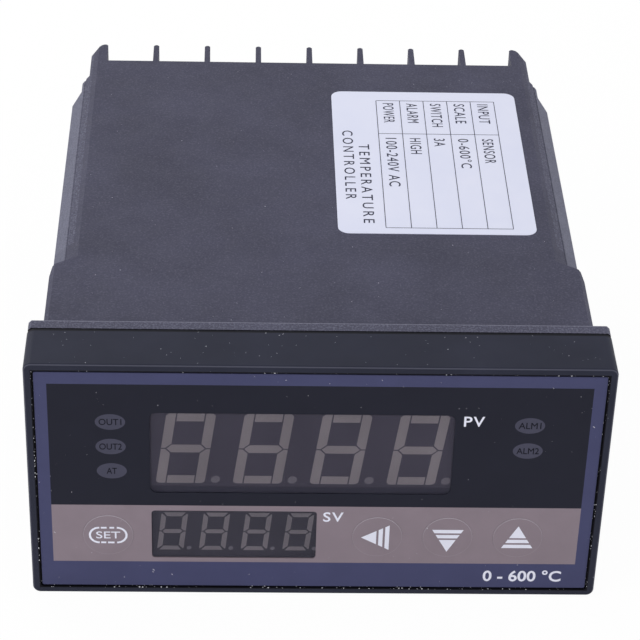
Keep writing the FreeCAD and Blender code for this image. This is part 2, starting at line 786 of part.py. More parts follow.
def digit_outlines(width, height, stroke, gap, corner, point_gap, mitred):
    """The seven segments and the point of an upright digit, its lower left corner at the origin."""
    half, middle = stroke / 2, height / 2
    slit = gap * math.sqrt(2)
    tip = half + gap / 2
    cross_bar = [(tip, middle), (tip + half, middle + half), (width - tip - half, middle + half),
                 (width - tip, middle), (width - tip - half, middle - half), (tip + half, middle - half)]
    centre = width + point_gap + half
    point = [(centre + half * math.cos(turn), half + half * math.sin(turn)) for turn in EIGHTHS]
    foot = [(0, middle + gap / 2), (half + gap - slit, middle + gap / 2),
            (stroke, middle + half + slit - gap / 2)]
    if mitred:
        outer, inner = slit / 2 + 2 * corner, stroke + slit / 2
        upright = foot + [(stroke, height - inner), (corner, height - slit / 2 - corner), (0, height - outer)]
    else:
        outer = inner = stroke + gap
        upright = foot + [(stroke, height), (corner, height), (0, height - corner)]
    top_bar = [(inner, height - stroke), (width - inner, height - stroke),
               (width - outer, height), (outer, height)]
    lower = [[(across, height - up) for across, up in bar] for bar in (top_bar, upright)]
    right = [[(width - across, up) for across, up in bar] for bar in (upright, lower[1])]
    return [cross_bar, point, top_bar, upright] + lower + right


def make_display(kind, across, up, mitred):
    """A four-digit lamp module: potted segments and the shell around them."""
    width, height = value(f"{kind}_digit_width"), value(f"{kind}_digit_height")
    pitch, slant = value(f"{kind}_pitch"), value(f"{kind}_slant")
    stroke, corner = value(f"{kind}_stroke"), value(f"{kind}_corner")
    gap, point_gap = value("segment_gap"), value(f"{kind}_point_gap")
    depth = FreeCAD.Vector(0, value("segment_depth"), 0)
    corner_at = FreeCAD.Vector(value(across), value(DISPLAY_FACE), value(up) - height / 2)
    corner_at.x -= (3 * pitch + width + slant * height) / 2
    solids = []
    for digit in range(4):
        for bar in digit_outlines(width, height, stroke, gap, corner, point_gap, mitred):
            corners = [corner_at + FreeCAD.Vector(digit * pitch + x + slant * z, 0, z) for x, z in bar]
            solids.append(Part.Face(Part.makePolygon(corners + corners[:1])).extrude(depth))
    segments = doc.addObject("Part::Feature", f"{kind}_segments")
    segments.Shape = Part.makeCompound(solids)

    block = doc.addObject("Part::Box", f"{kind}_block")
    block.setExpression("Length", formula(f"{kind}_width"))
    block.setExpression("Width", formula(f"{BOARD_FRONT} - {DISPLAY_FACE}"))
    block.setExpression("Height", formula(f"{kind}_height"))
    place(block, f"{across} - {kind}_width / 2", DISPLAY_FACE, f"{up} - {kind}_height / 2")
    shell = doc.addObject("Part::Cut", f"{kind}_display")
    shell.Base = block
    shell.Tool = segments
    doc.recompute()
    return [shell, segments]


def make_board_screws():
    screws = []
    for index, across in enumerate(POSTS):
        body = new_body(f"board_screw_{index}")
        make_screw(body, BOARD_REAR, "board_screw_head_radius", "board_screw_head_height",
                   "pilot_radius", "board_screw_length")
        screws.append(place(body, across, "0", "post_up"))
    group = doc.addObject("Part::Compound", "board_screws")
    group.Links = screws
    doc.recompute()
    return group


def make_box(label, size, across, along, up):
    """A plain rectangular piece, centred across, from its front and lower faces."""
    box = doc.addObject("Part::Box", label)
    for name, text in zip(("Length", "Width", "Height"), size):
        box.setExpression(name, formula(text))
    place(box, f"{across} - ({size[0]}) / 2", along, up)
    return box


def make_long_board(label, underside):
    """A long board that runs between the guides, narrower where the case narrows at the rear."""
    body = new_body(label)
    step_at = "(step_one_at - wall_side - board_side_gap)"
    narrow = f"({REAR_CAVITY_WIDTH} / 2 - board_side_gap)"
    sketch = new_sketch(body, "Outline", "XY", underside)
    add_outline(sketch, mirrored([
        (narrow, BOARD_END),
        (narrow, step_at),
        (f"{BOARD_WIDTH} / 2", step_at),
        (f"{BOARD_WIDTH} / 2", BOARD_REAR),
    ]))
    pad(body, "Board", sketch, "board_thickness")
    return body


def make_long_boards():
    """The upper logic board, the lower power board and the headers that join them to the front."""
    header = ("header_width", "header_side", "header_side")
    return [
        make_long_board("logic_board", BOARD_INNER),
        make_long_board("power_board", f"0 - {BOARD_OUTER}"),
        make_box("logic_header", header, "0", BOARD_REAR, f"{BOARD_INNER} - header_side"),
        make_box("power_header", header, "0", BOARD_REAR, f"0 - {BOARD_INNER}"),
    ]


def make_transformer():
    """Laminated core with two windows, the moulded bobbin on its middle leg and the winding."""
    where = ("transformer_across", "transformer_along", f"core_height / 2 - {BOARD_INNER}")
    yoke = "(core_width / 2 - core_leg / 2 - core_window)"
    window_height = f"(core_height - 2 * {yoke})"
    core = new_body("transformer_core")
    sketch = new_sketch(core, "Lamination", "XZ", "0 - core_stack / 2")
    add_outline(sketch, rectangle("core_width", "core_height"))
    for side in ("", "0 - "):
        centre = f"{side}(core_leg / 2 + core_window / 2)"
        add_outline(sketch, rectangle("core_window", window_height, centre))
    pad(core, "Stack", sketch, "core_stack")

    tube = ("(core_leg + 2 * bobbin_gap)", "(core_stack + 2 * bobbin_gap)")
    outer = (f"({tube[0]} + 2 * bobbin_wall)", f"({tube[1]} + 2 * bobbin_wall)")
    bobbin_height = f"({window_height} - 2 * bobbin_gap)"
    rim = "2 * core_window - 2 * bobbin_gap"
    flange = (f"(core_leg + {rim})", f"(core_stack + {rim})")
    bobbin = new_body("transformer_bobbin")
    sketch = new_sketch(bobbin, "FlangeOutline", "XY", f"0 - {bobbin_height} / 2")
    add_outline(sketch, rectangle(*flange))
    pad(bobbin, "Flanges", sketch, bobbin_height)
    sketch = new_sketch(bobbin, "WindingRoom", "XY", f"{bobbin_height} / 2 - bobbin_wall")
    add_outline(sketch, rectangle(f"{flange[0]} + {OUTSIDE}", f"{flange[1]} + {OUTSIDE}"))
    add_outline(sketch, rectangle(*outer))
    pocket(bobbin, "Spool", sketch, f"{bobbin_height} - 2 * bobbin_wall")
    sketch = new_sketch(bobbin, "LegOutline", "XY", f"{bobbin_height} / 2 + {OUTSIDE}")
    add_outline(sketch, rectangle(*tube))
    pocket(bobbin, "LegHole", sketch, f"{bobbin_height} + 2 * {OUTSIDE}")

    winding = new_body("transformer_winding")
    sketch = new_sketch(winding, "Outline", "XY", f"bobbin_wall - {bobbin_height} / 2")
    add_outline(sketch, rectangle(f"{flange[0]} - 2 * winding_gap", f"{flange[1]} - 2 * winding_gap"))
    add_outline(sketch, rectangle(*outer))
    pad(winding, "Turns", sketch, f"{bobbin_height} - 2 * bobbin_wall")
    reach = value(f"{flange[0]} / 2 - winding_gap")
    fillet(winding, "Corners", "winding_round", lambda box: box.XLength + box.YLength < 1e-4
           and near(abs(box.XMin), reach))
    return [place(piece, *where) for piece in (core, bobbin, winding)]


def make_relay(label, across):
    body = new_body(label)
    sketch = new_sketch(body, "Outline", "XY", "0")
    add_outline(sketch, rectangle("relay_width", "relay_length"))
    pad(body, "Housing", sketch, "relay_height")
    return place(body, across, "relay_along", f"0 - {BOARD_INNER}")


def make_capacitor(label, radius, height, across, along):
    """An upright can."""
    body = new_body(label)
    sketch = new_sketch(body, "Profile", "XZ", "0")
    add_outline(sketch, [("0", "0"), (radius, "0"), (radius, height), ("0", height)])
    feature = body.newObject("PartDesign::Revolution", "Can")
    feature.Profile = sketch
    feature.ReferenceAxis = (origin_part(body, "Z_Axis"), [""])
    feature.Angle = 360
    doc.recompute()
    return place(body, across, along, f"0 - {BOARD_INNER}")


def make_board_parts():
    on_power, on_logic = f"0 - {BOARD_INNER}", f"{BOARD_INNER} - chip_height"
    controller = ("controller_width", "controller_length", "chip_height")
    converter = ("converter_width", "converter_length", "chip_height")
    regulator = ("regulator_width", "regulator_thickness", "regulator_height")
    return [
        make_relay("output_relay", "0 - relay_across"),
        make_relay("alarm_relay", "relay_across"),
        make_capacitor("supply_capacitor", "capacitor_radius", "capacitor_height",
                       "capacitor_across", "capacitor_along"),
        make_capacitor("filter_capacitor", "small_capacitor_radius", "small_capacitor_height",
                       "capacitor_across", "small_capacitor_along"),
        make_box("microcontroller", controller, "controller_across", "controller_along", on_logic),
        make_box("input_converter", converter, "converter_across", "converter_along", on_logic),
        make_box("voltage_regulator", regulator, "regulator_across", "regulator_along", on_power),
    ]


pieces = [make_case(), make_label(), make_contacts(), make_washers(), make_terminal_screws()]
pieces += [make_front_frame(), make_film(), make_display_board(), make_board_screws()]
pieces += make_display("pv", "pv_centre", PV_UP, mitred=False)
pieces += make_display("sv", "sv_centre", "sv_up", mitred=True)
for key, key_across in KEYS.items():
    pieces += [make_key(key, key_across), make_plunger(key, key_across), make_switch(key, key_across)]
for lamp, (lamp_x, lamp_z) in LAMPS.items():
    pieces.append(make_lamp(lamp, lamp_x, lamp_z))
pieces += make_long_boards() + make_transformer() + make_board_parts()
doc.recompute()

for item in doc.Objects:
    if "Invalid" in item.State or "Error" in item.State:
        raise RuntimeError(f"{item.Label} failed: {item.State}")
for piece in pieces:
    if piece.Shape.isNull() or not piece.Shape.isValid():
        raise RuntimeError(f"{piece.Label} has no valid shape")

os.makedirs("parts", exist_ok=True)
for piece in pieces:
    piece.Shape.exportStep(f"parts/{piece.Label}.step")
    print(piece.Label, len(piece.Shape.Solids), round(piece.Shape.Volume, 1))
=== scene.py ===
import math

import bpy
from mathutils import Matrix, Vector


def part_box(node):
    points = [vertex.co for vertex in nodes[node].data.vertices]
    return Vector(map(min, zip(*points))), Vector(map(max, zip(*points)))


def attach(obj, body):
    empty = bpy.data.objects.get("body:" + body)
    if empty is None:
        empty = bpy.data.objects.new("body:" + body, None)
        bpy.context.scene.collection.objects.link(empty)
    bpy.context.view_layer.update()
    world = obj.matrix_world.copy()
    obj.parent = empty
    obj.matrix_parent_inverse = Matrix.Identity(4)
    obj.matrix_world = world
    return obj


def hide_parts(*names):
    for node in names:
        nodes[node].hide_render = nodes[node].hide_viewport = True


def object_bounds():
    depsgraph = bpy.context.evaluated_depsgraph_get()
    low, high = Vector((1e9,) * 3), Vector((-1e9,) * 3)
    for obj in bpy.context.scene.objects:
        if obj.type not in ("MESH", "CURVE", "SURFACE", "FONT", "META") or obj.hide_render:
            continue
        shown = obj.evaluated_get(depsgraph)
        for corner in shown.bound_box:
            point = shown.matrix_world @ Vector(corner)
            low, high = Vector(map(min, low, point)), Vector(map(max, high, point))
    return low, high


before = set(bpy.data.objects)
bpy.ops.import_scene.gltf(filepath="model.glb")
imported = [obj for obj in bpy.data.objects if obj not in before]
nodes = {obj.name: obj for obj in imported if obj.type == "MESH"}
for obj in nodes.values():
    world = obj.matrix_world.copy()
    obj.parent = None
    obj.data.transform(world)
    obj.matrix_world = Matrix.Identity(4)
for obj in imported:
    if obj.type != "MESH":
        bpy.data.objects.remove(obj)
cad_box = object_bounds()
MM = 0.001


# Case: one moulding in black glass-filled plastic, with its panel flange, corner bevels and
# barrier fins. The tool was spark-eroded, so the skin has a fine dull grain, and it has
# gathered a few specks of dust.
def linear(red, green, blue):
    """The values that a shader takes for a colour read off a swatch card, 0 to 255."""
    parts = [part / 255 for part in (red, green, blue)]
    return [((part + 0.055) / 1.055) ** 2.4 if part > 0.04 else part / 12.92 for part in parts] + [1.0]


def new_finish(name, colour, roughness, specular=0.5, metallic=0.0):
    """A material of one shader with its plain values, and the tree that patterns are added to."""
    finish = bpy.data.materials.new(name)
    finish.use_nodes = True
    tree = finish.node_tree
    shader = tree.nodes["Principled BSDF"]
    shader.inputs["Base Color"].default_value = linear(*colour)
    shader.inputs["Roughness"].default_value = roughness
    shader.inputs["Specular IOR Level"].default_value = specular
    shader.inputs["Metallic"].default_value = metallic
    return finish, tree, shader


def pattern(tree, kind, size, stretch=(1, 1, 1), turn=(0, 0, 0)):
    """A texture on the piece's own coordinates, with features of about the given size in mm."""
    place = tree.nodes.new("ShaderNodeTexCoord")
    fit = tree.nodes.new("ShaderNodeMapping")
    fit.vector_type = "TEXTURE"
    fit.inputs["Scale"].default_value = [size * MM / max(part, 1e-6) for part in stretch]
    fit.inputs["Rotation"].default_value = turn
    texture = tree.nodes.new("ShaderNodeTex" + kind)
    if kind != "Gradient":
        texture.inputs["Scale"].default_value = 1.0
    tree.links.new(place.outputs["Object"], fit.inputs["Vector"])
    tree.links.new(fit.outputs["Vector"], texture.inputs["Vector"])
    return texture


def spread(tree, source, low, high, start=0.3, end=0.7):
    """Turn a texture's value into one between two limits."""
    node = tree.nodes.new("ShaderNodeMapRange")
    for name, number in (("From Min", start), ("From Max", end), ("To Min", low), ("To Max", high)):
        node.inputs[name].default_value = number
    tree.links.new(source, node.inputs["Value"])
    return node.outputs["Result"]


def blend_colours(tree, share, first, second):
    """Mix two colours by a pattern. Each is a swatch or the output of another mix."""
    node = tree.nodes.new("ShaderNodeMix")
    node.data_type = "RGBA"
    tree.links.new(share, node.inputs[0])
    for socket, colour in ((node.inputs[6], first), (node.inputs[7], second)):
        if isinstance(colour, bpy.types.NodeSocket):
            tree.links.new(colour, socket)
        else:
            socket.default_value = linear(*colour)
    return node.outputs[2]


def raise_skin(tree, shader, height, depth):
    """Add relief of a depth in mm to a shader, over any relief that it has already."""
    node = tree.nodes.new("ShaderNodeBump")
    node.inputs["Distance"].default_value = depth * MM
    tree.links.new(height, node.inputs["Height"])
    if shader.inputs["Normal"].is_linked:
        tree.links.new(shader.inputs["Normal"].links[0].from_socket, node.inputs["Normal"])
    tree.links.new(node.outputs["Normal"], shader.inputs["Normal"])


def combine(tree, kind, first, second):
    """One step of arithmetic on two values, each a number or an output."""
    node = tree.nodes.new("ShaderNodeMath")
    node.operation = kind
    for socket, value in zip(node.inputs, (first, second)):
        if isinstance(value, bpy.types.NodeSocket):
            tree.links.new(value, socket)
        else:
            socket.default_value = value
    return node.outputs[0]


def specks(tree, spacing, size, amount, stretch=(1, 1, 1), turn=(0, 0, 0)):
    """A share that is 1 on scattered specks, thicker in places, and 0 between them, all in mm."""
    cells = pattern(tree, "Voronoi", spacing, stretch, turn)
    reach = spread(tree, cells.outputs["Color"], 0.0, size / spacing, 1 - amount, 1 - amount / 2)
    crowd = spread(tree, pattern(tree, "Noise", 12).outputs["Fac"], 0.35, 1.1, 0.38, 0.62)
    return combine(tree, "LESS_THAN", cells.outputs["Distance"], combine(tree, "MULTIPLY", reach, crowd))


def dusty(tree, skin, dust, amount):
    """Lay fine dust over a colour: many small specks, and a few short fibres that lie two ways."""
    skin = blend_colours(tree, specks(tree, 0.8, 0.085, amount), skin, dust)
    for turn in ((0.4, 0.8, 0.2), (-0.3, -0.5, 0.9)):
        skin = blend_colours(tree, specks(tree, 6, 0.42, amount * 0.7, (1, 8, 6), turn), skin, dust)
    return skin


def overlay(finish, share, colour):
    """Lay one more colour over a finish where a share says."""
    tree = finish.node_tree
    base = tree.nodes["Principled BSDF"].inputs["Base Color"]
    tree.links.new(blend_colours(tree, share, base.links[0].from_socket, colour), base)


def moulded(name, colour, roughness, grain, relief, specular=0.5, dust=0.0, shift=0.06):
    """Moulded plastic: cloudy by a small shift, with a skin grain in mm and a share of dust."""
    finish, tree, shader = new_finish(name, colour, roughness, specular)
    cloud = pattern(tree, "Noise", 14).outputs["Fac"]
    darker = [part * (1 - shift) for part in colour]
    lighter = [min(255, part * (1 + shift)) for part in colour]
    skin = blend_colours(tree, spread(tree, cloud, 0.0, 1.0), darker, lighter)
    if dust:
        skin = dusty(tree, skin, (184, 184, 196), dust)
    tree.links.new(skin, shader.inputs["Base Color"])
    wear = pattern(tree, "Noise", 3).outputs["Fac"]
    tree.links.new(spread(tree, wear, roughness - 0.05, roughness + 0.05), shader.inputs["Roughness"])
    texture = pattern(tree, "Noise", grain)
    texture.inputs["Detail"].default_value = 3
    raise_skin(tree, shader, texture.outputs["Fac"], relief)
    return finish


ACROSS, ALONG, UP = 0, 1, 2
BEYOND = 99


def place_along(tree, axis):
    """How far a point lies along one axis, in metres."""
    place = tree.nodes.new("ShaderNodeTexCoord")
    split = tree.nodes.new("ShaderNodeSeparateXYZ")
    tree.links.new(place.outputs["Object"], split.inputs[0])
    return split.outputs[axis]


def between(tree, axis, low, high, soft, both_sides=False):
    """A share that is 1 between two planes in mm across an axis, with soft edges."""
    at = place_along(tree, axis)
    if both_sides:
        at = combine(tree, "ABSOLUTE", at, 0.0)
    rise = spread(tree, at, 0.0, 1.0, (low - soft) * MM, low * MM)
    fall = spread(tree, at, 1.0, 0.0, high * MM, (high + soft) * MM)
    return combine(tree, "MULTIPLY", rise, fall)


def outside(tree, side, top, soft):
    """A share that is 1 outside a rectangle seen from the front, with its half sizes in mm."""
    return combine(tree, "MAXIMUM", between(tree, ACROSS, side, BEYOND, soft, both_sides=True),
                   between(tree, UP, top, BEYOND, soft, both_sides=True))


def inside(tree, side, top, soft):
    """A share that is 1 inside such a rectangle."""
    return combine(tree, "MULTIPLY", between(tree, ACROSS, -1, side, soft, both_sides=True),
                   between(tree, UP, -1, top, soft, both_sides=True))


def give(finish, *names):
    """Finish CAD nodes whose shape is right as they are."""
    for name in names:
        for slot in nodes[name].material_slots:
            slot.material = finish


STEP_ACROSS, STEP_UP = (43.5, 45.55), (18.8, 20.7)
FLANGE_DEPTH, FLANGE_REAR_EDGE = (-2.1, 0.1), (-0.16, 0.05)
FLANGE_SIDE, FLANGE_TOP = 46.2, 22.4
FLANGE_SEAM_SHADE = (-2.4, -2.13)
BEVEL_SIDE, BEVEL_START = 42.1, 27

case_plastic = moulded("case_plastic", (70, 70, 87), 0.6, 0.28, 0.05, specular=0.12, dust=0.26)
tree = case_plastic.node_tree
# Painted highlight: the lower band of the bevels along both top edges is coloured lighter, where the side
# light catches it.
side_step = between(tree, ACROSS, *STEP_ACROSS, 0.15, both_sides=True)
step_height = between(tree, UP, *STEP_UP, 0.15, both_sides=True)
overlay(case_plastic, combine(tree, "MULTIPLY", side_step, step_height), (99, 100, 116))
# Painted highlight: a light line along the flange's rear top edge.
rear_edge = between(tree, ALONG, *FLANGE_REAR_EDGE, 0.05)
rim = outside(tree, FLANGE_SIDE, FLANGE_TOP, 0.1)
overlay(case_plastic, combine(tree, "MULTIPLY", rear_edge, rim), (112, 112, 128))
# Painted shade: the flange's front face in the seam behind the frame is coloured near black.
overlay(case_plastic, between(tree, ALONG, *FLANGE_SEAM_SHADE, 0.01), (34, 34, 42))
grain = pattern(tree, "Noise", 0.34)
grain.inputs["Detail"].default_value = 4
overlay(case_plastic, spread(tree, grain.outputs["Fac"], 0.0, 0.2, 0.52, 0.7), (122, 123, 142))
overlay(case_plastic, spread(tree, grain.outputs["Fac"], 0.26, 0.0, 0.3, 0.48), (46, 46, 60))
bevels = combine(tree, "MULTIPLY", between(tree, ACROSS, BEVEL_SIDE, BEYOND, 0.05, both_sides=True),
                 between(tree, ALONG, BEVEL_START, BEYOND, 0.5))
coarse = combine(tree, "MAXIMUM", bevels, between(tree, ALONG, *FLANGE_DEPTH, 0.05))
bright = spread(tree, grain.outputs["Fac"], 0.06, 0.34, 0.46, 0.64)
overlay(case_plastic, combine(tree, "MULTIPLY", bright, coarse), (126, 127, 146))
give(case_plastic, "case")


# Terminal numbers: small raised figures, moulded with the case on the spine between the two
# rows of screws, so that a fitter can tell the sixteen terminals apart.
FRONT = Matrix(((1, 0, 0), (0, 0, -1), (0, 1, 0))).to_4x4()
TOP = Matrix(((0, 1, 0), (-1, 0, 0), (0, 0, 1))).to_4x4()
REAR = Matrix(((-1, 0, 0), (0, 0, 1), (0, 1, 0))).to_4x4()


def letters(words, width, height, centre, side, depth, weight=0.0, apart=1.0):
    """Words as a thin solid of that width and height in mm, standing out of one side."""
    bpy.ops.object.select_all(action="DESELECT")
    bpy.ops.object.text_add()
    text = bpy.context.object
    text.data.body = words
    text.data.extrude = 0.5
    text.data.offset = weight
    text.data.space_character = apart
    text.data.resolution_u = 4
    bpy.ops.object.convert(target="MESH")
    text = bpy.context.object
    low, high = [Vector(fold(v.co[i] for v in text.data.vertices) for i in range(3)) for fold in (min, max)]
    fit = [width / (high.x - low.x), height / (high.y - low.y), depth]
    text.data.transform(Matrix.Translation(((low + high) / -2)))
    text.data.transform(Matrix.Diagonal(fit + [1]))
    text.data.transform(Matrix.Translation(Vector(centre)) @ side)
    text.data.transform(Matrix.Scale(MM, 4))
    return text


def gather(pieces, name, finish=None):
    """Join pieces into one of that name, in one finish."""
    bpy.ops.object.select_all(action="DESELECT")
    for piece in pieces:
        piece.select_set(True)
    bpy.context.view_layer.objects.active = pieces[0]
    if len(pieces) > 1:
        bpy.ops.object.join()
    whole = bpy.context.object
    whole.name = name
    if finish:
        whole.data.materials.clear()
        whole.data.materials.append(finish)
    return whole


screws_low, screws_high = [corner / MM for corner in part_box("terminal_screws")]
case_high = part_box("case")[1] / MM
TERMINALS = 8
HEAD_RADIUS = 2.8
SPINE_SINK = 2.9
FIGURE_WIDTH, FIGURE_HEIGHT, FIGURE_RELIEF = 1.2, 2.1, 0.3
FIGURE_UP = 2.2
first_screw = screws_low.x + HEAD_RADIUS
screw_pitch = (screws_high.x - screws_low.x - 2 * HEAD_RADIUS) / (TERMINALS - 1)
spine_face = case_high.y - SPINE_SINK
figures = []
for row, up in enumerate((FIGURE_UP, -FIGURE_UP)):
    for column in range(TERMINALS):
        number = str(2 * TERMINALS - column - TERMINALS * row)
        width = FIGURE_WIDTH * len(number)
        centre = (first_screw + column * screw_pitch, spine_face + FIGURE_RELIEF / 2, up)
        figures.append(letters(number, width, FIGURE_HEIGHT, centre, REAR, FIGURE_RELIEF, 0.02))
rubbed_plastic = moulded("rubbed_plastic", (118, 118, 134), 0.5, 0.3, 0.02, specular=0.15, shift=0.1)
figures = gather(figures, "terminal_numbers", rubbed_plastic)
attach(figures, "case")


# Rating label: a white film sticker with rounded corners, printed in black with a ruled table
# of five rows that reads from the rear to the front. Its words are plain ones.
def slab(name, left, right, low, high, front, back, corner=0.0, axis=ALONG):
    """A sheet between six planes in mm, its corners rounded about one axis."""
    bpy.ops.object.select_all(action="DESELECT")
    centre = [(left + right) / 2 * MM, (front + back) / 2 * MM, (low + high) / 2 * MM]
    size = [(right - left) * MM, (back - front) * MM, (high - low) * MM]
    bpy.ops.mesh.primitive_cube_add(size=1, location=centre, scale=size)
    bpy.ops.object.transform_apply(location=True, rotation=True, scale=True)
    piece = bpy.context.object
    piece.name = name
    if corner:
        pick(piece, "EDGE", lambda a, b: abs((a - b)[axis]) > 0.9 * (a - b).length)
        bpy.ops.mesh.bevel(offset=corner * MM, segments=8)
        bpy.ops.object.mode_set(mode="OBJECT")
    return piece


def pick(piece, kind, test):
    """Go into edit mode with only those faces or edges selected that pass the test."""
    bpy.context.view_layer.objects.active = piece
    bpy.ops.object.mode_set(mode="EDIT")
    bpy.ops.mesh.select_mode(type=kind)
    bpy.ops.mesh.select_all(action="DESELECT")
    bpy.ops.object.mode_set(mode="OBJECT")
    mesh = piece.data
    if kind == "EDGE":
        for edge in mesh.edges:
            edge.select = test(*[mesh.vertices[i].co for i in edge.vertices])
    else:
        for face in mesh.polygons:
            face.select = test(face.center, face.normal)
    bpy.ops.object.mode_set(mode="EDIT")


label_low, label_high = [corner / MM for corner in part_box("rating_label")]
sticker = slab("rating_sticker", label_low.x, label_high.x, label_low.z, label_high.z,
               label_low.y, label_high.y, corner=2.0, axis=UP)
pick(sticker, "FACE", lambda centre, normal: normal.z > 0.9)
bpy.ops.mesh.bevel(offset=0.04 * MM, segments=2, affect="EDGES")
bpy.ops.object.mode_set(mode="OBJECT")
label_film, tree, shader = new_finish("label_film", (220, 223, 243), 0.42, 0.4)
paper = blend_colours(tree, pattern(tree, "Noise", 9).outputs["Fac"], (214, 218, 240), (226, 228, 245))
tree.links.new(paper, shader.inputs["Base Color"])
raise_skin(tree, shader, pattern(tree, "Noise", 1.2).outputs["Fac"], 0.01)
sticker.data.materials.append(label_film)
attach(sticker, "case")
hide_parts("rating_label")

TABLE_FRONT, TABLE_REAR = 31.65, 76.4
TABLE_LEFT, TABLE_RIGHT = 12.3, 34.75
DIVIDER = 64.1
RULE = 0.06
INK = 0.02
print_level = label_high.z + INK / 2
ROWS = (("POWER", 7.2, "100-240V AC", 17.0), ("ALARM", 7.2, "HIGH", 5.6), ("SWITCH", 8.6, "3A", 2.8),
        ("SCALE", 7.2, "0-600\N{DEGREE SIGN}C", 10.4), ("INPUT", 7.2, "SENSOR", 8.6))
FIELD_START, ENTRY_START = TABLE_REAR - 1.0, DIVIDER - 1.6
ROW_HEIGHT, TITLE_HEIGHT = 2.05, 1.95
row_step = (TABLE_RIGHT - TABLE_LEFT) / len(ROWS)
lines = []
for i in range(len(ROWS) + 1):
    across = TABLE_LEFT + row_step * i
    lines.append(slab("rule", across - RULE, across + RULE, print_level - INK / 2, print_level + INK / 2,
                      TABLE_FRONT, TABLE_REAR))
for along in (TABLE_FRONT, DIVIDER, TABLE_REAR):
    lines.append(slab("rule", TABLE_LEFT, TABLE_RIGHT, print_level - INK / 2, print_level + INK / 2,
                      along - RULE, along + RULE))
for i, (field, field_width, entry, entry_width) in enumerate(ROWS):
    across = TABLE_LEFT + row_step * (i + 0.5)
    for words, width, start in ((field, field_width, FIELD_START), (entry, entry_width, ENTRY_START)):
        centre = (across, start - width / 2, print_level)
        lines.append(letters(words, width, ROW_HEIGHT, centre, TOP, INK, apart=1.15))
for words, width, across, along in (("TEMPERATURE", 27, 9.4, 46.6), ("CONTROLLER", 24, 6.5, 53)):
    centre = (across, along, print_level)
    lines.append(letters(words, width, TITLE_HEIGHT, centre, TOP, INK, apart=1.4))
label_ink, tree, shader = new_finish("label_ink", (38, 40, 62), 0.6, 0.2)
faded = blend_colours(tree, pattern(tree, "Noise", 0.8).outputs["Fac"], (14, 16, 38), (48, 50, 74))
tree.links.new(faded, shader.inputs["Base Color"])
lines = gather(lines, "label_print", label_ink)
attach(lines, "case")


# Terminals: tinned brass contact plates in the bays, square clamp washers of plated steel, and
# pan-head screws with a cross and slot drive that clamp the wires.
def metal(name, colour, roughness, lay, stain):
    """Bare or plated metal with fine marks drawn out along one way, and dull stains."""
    finish, tree, shader = new_finish(name, colour, roughness, metallic=1.0)
    marks = pattern(tree, "Noise", 0.5, stretch=lay).outputs["Fac"]
    clouds = pattern(tree, "Noise", 4).outputs["Fac"]
    tone = blend_colours(tree, spread(tree, clouds, 0.0, 1.0, 0.4, 0.75), colour, stain)
    tree.links.new(tone, shader.inputs["Base Color"])
    tree.links.new(spread(tree, marks, roughness - 0.1, roughness + 0.14), shader.inputs["Roughness"])
    raise_skin(tree, shader, marks, 0.01)
    return finish


give(metal("tinned_brass", (206, 201, 190), 0.34, (1, 1, 6), (168, 158, 138)), "terminal_contacts")
plated_steel = metal("plated_steel", (198, 200, 204), 0.3, (1, 5, 1), (150, 152, 158))
give(plated_steel, "clamp_washers", "board_screws")


def cut_out(piece, cutter):
    """Cut one piece's shape out of another and throw the cutter away."""
    cut = piece.modifiers.new("Cut", "BOOLEAN")
    cut.object = cutter
    cut.solver = "EXACT"
    bpy.ops.object.select_all(action="DESELECT")
    bpy.context.view_layer.objects.active = piece
    bpy.ops.object.modifier_apply(modifier=cut.name)
    bpy.data.objects.remove(cutter)


def disc(name, radius, front, back, across=0.0, up=0.0, sides=64, squeeze=1.0):
    """A round or oval plate facing the front, between two depths in mm."""
    bpy.ops.object.select_all(action="DESELECT")
    centre = (across * MM, (front + back) / 2 * MM, up * MM)
    bpy.ops.mesh.primitive_cylinder_add(vertices=sides, radius=radius * MM, depth=(back - front) * MM,
                                        location=centre, rotation=(math.pi / 2, 0, 0), scale=(1, squeeze, 1))
    bpy.ops.object.transform_apply(location=True, rotation=True, scale=True)
    piece = bpy.context.object
    piece.name = name
    return piece


HEAD_DEPTH, HEAD_ROUND, SHANK_RADIUS = 2.0, 0.7, 1.45
SLOT_DEPTH, CROSS_DEPTH = 0.9, 1.3
SCREW_UP = 12.0
TURN_STEP = 37
head = screws_high.y
seat = head - HEAD_DEPTH
screw = disc("terminal_screw", HEAD_RADIUS, seat, head, sides=40)
pick(screw, "FACE", lambda centre, normal: normal.y > 0.9)
bpy.ops.mesh.bevel(offset=HEAD_ROUND * MM, segments=4, affect="EDGES")
bpy.ops.object.mode_set(mode="OBJECT")
cut_out(screw, slab("drive", -3, 3, -0.42, 0.42, head - SLOT_DEPTH, head + 1))
cut_out(screw, slab("drive", -1.6, 1.6, -0.45, 0.45, head - CROSS_DEPTH, head + 1))
cut_out(screw, slab("drive", -0.45, 0.45, -1.6, 1.6, head - CROSS_DEPTH, head + 1))
shank = disc("shank", SHANK_RADIUS, screws_low.y, seat + 0.2, sides=24)
screw = gather([screw, shank], "terminal_screw", plated_steel)
bpy.ops.object.shade_smooth_by_angle(angle=math.radians(35))
for row, up in enumerate((SCREW_UP, -SCREW_UP)):
    for column in range(TERMINALS):
        count = TERMINALS * row + column
        copy = screw.copy()
        copy.data = screw.data.copy()
        bpy.context.scene.collection.objects.link(copy)
        copy.name = f"terminal_screw_{count + 1}"
        turn = Matrix.Rotation(math.radians(TURN_STEP * count % 180), 4, "Y")
        place = Matrix.Translation(Vector((first_screw + column * screw_pitch, 0, up)) * MM)
        copy.data.transform(place @ turn)
        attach(copy, "case")
        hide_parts("terminal_screws")
bpy.data.objects.remove(screw)


# Front frame: a smooth satin black moulding that holds the whole draw-out unit, with a painted
# highlight along its outer edge, painted shade in its recess and by the rear seam, and dust in the gap round
# the face sheet.
LIP_EDGE, LIP_SIDE, LIP_TOP = (-12.6, -12.52), 47.3, 23.3
RECESS_SIDE, RECESS_TOP = 46.8, 22.82
GAP_SIDE, GAP_TOP = (46.3, 46.75), (22.3, 22.75)
FRAME_SEAM_SHADE = (-3.15, -2.6)

